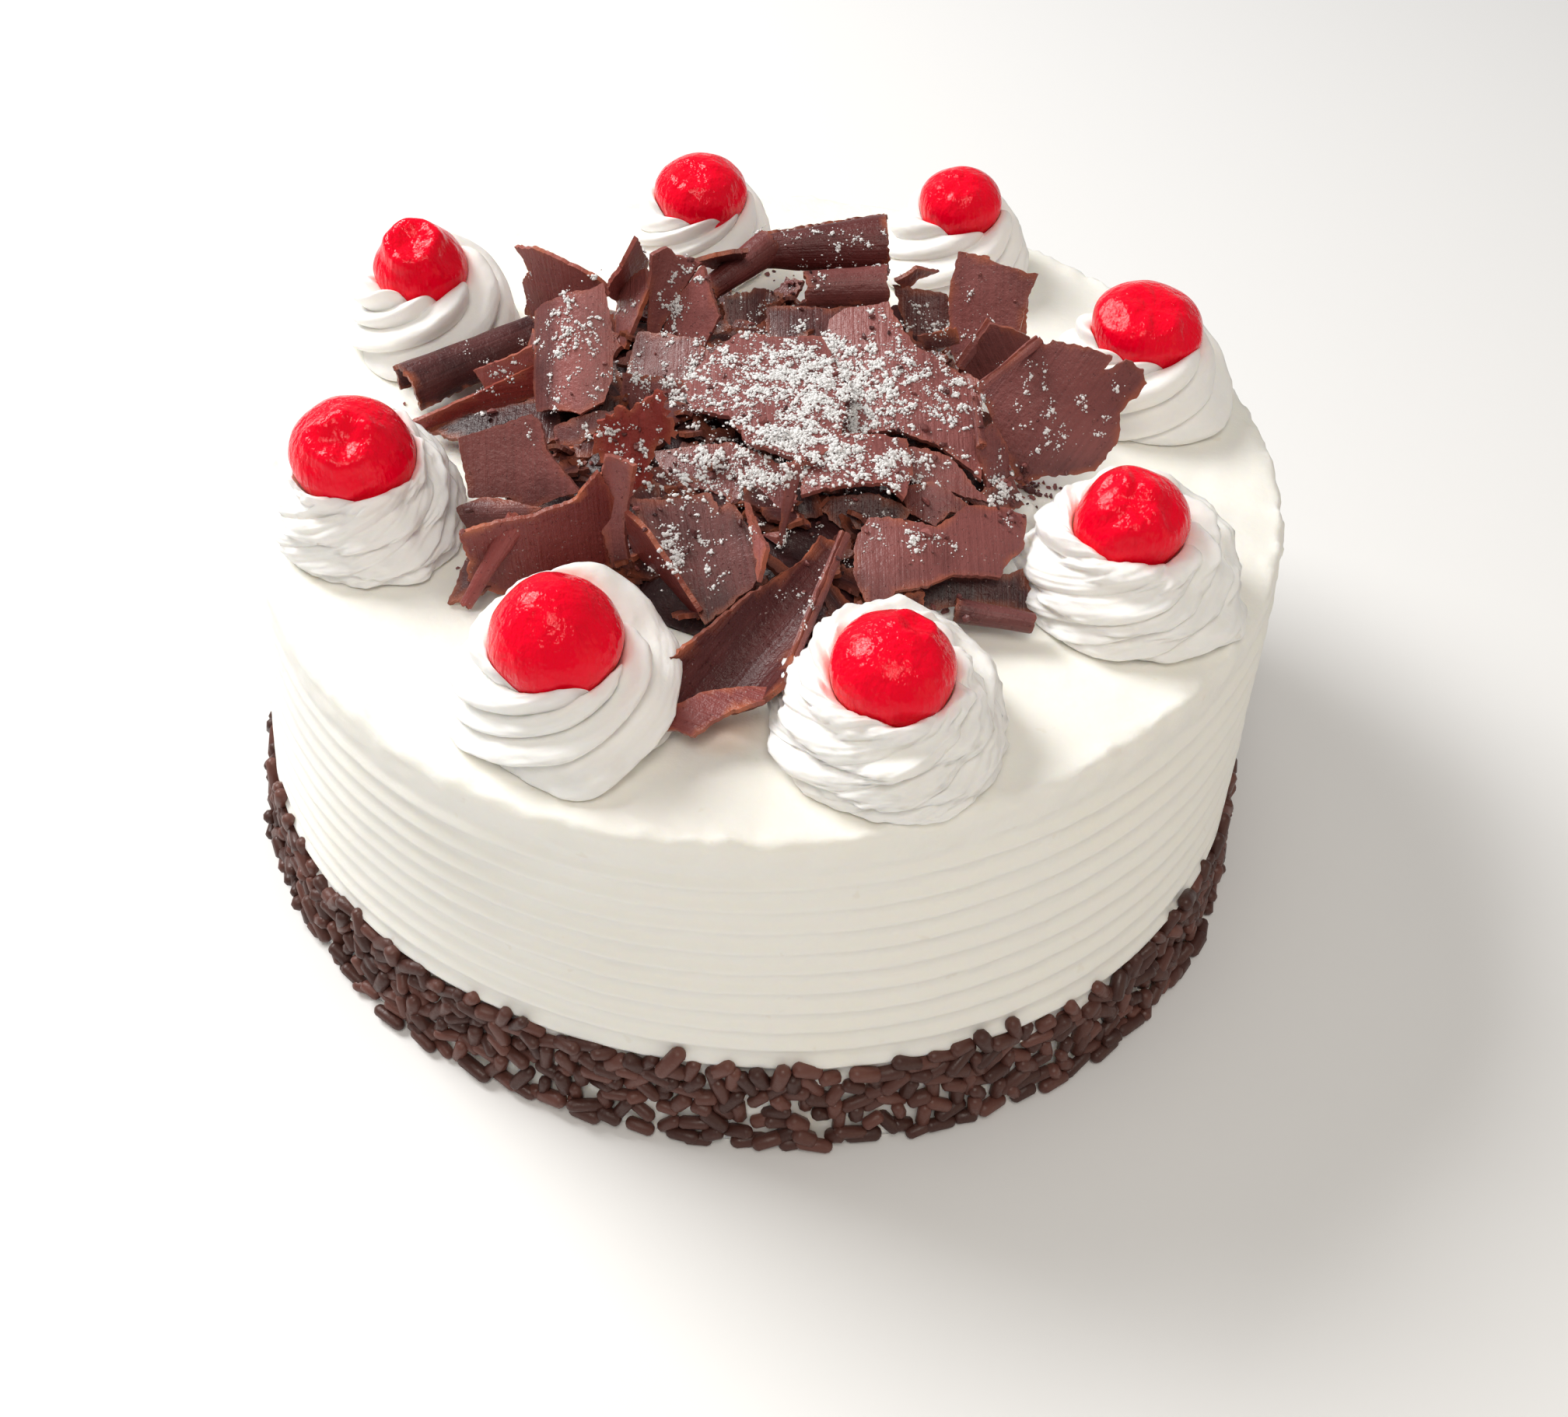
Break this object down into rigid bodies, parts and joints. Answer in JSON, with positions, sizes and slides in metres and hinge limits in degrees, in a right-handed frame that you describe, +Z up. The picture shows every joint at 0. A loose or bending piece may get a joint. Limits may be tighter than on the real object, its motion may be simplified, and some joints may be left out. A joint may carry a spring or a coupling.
{
  "type": "cream cake with cherries and chocolate shards",
  "caption": "Round cream-covered cake with a combed side, sprinkles round its foot, piped swirls with cherries and a heap of chocolate shards, for tables and shop displays.",
  "frame": {"origin": "centre of the flat base, on the surface that the cake stands on", "axes": "+Z up through the cake's axis; -Y is the side that faces the viewer, +X is to the viewer's right"},
  "size_m": [0.2034, 0.2008, 0.1058],
  "materials": {
    "cream": "smooth whipped cream with combed ridges; the sprinkles on its foot are dark chocolate",
    "piped_cream": "soft piped cream",
    "cherry": "wet glossy preserved cherry",
    "chocolate": "scraped milk chocolate with a slight sheen"
  },
  "bodies": {
    "root": {"cream_cake": "cream", "swirl_1": "piped_cream", "swirl_2": "piped_cream", "swirl_3": "piped_cream", "swirl_4": "piped_cream", "swirl_5": "piped_cream", "swirl_6": "piped_cream", "swirl_7": "piped_cream", "swirl_8": "piped_cream", "cherry_1": "cherry", "cherry_2": "cherry", "cherry_3": "cherry", "cherry_4": "cherry", "cherry_5": "cherry", "cherry_6": "cherry", "cherry_7": "cherry", "cherry_8": "cherry", "chocolate_heap": "chocolate"}
  },
  "joints": []
}
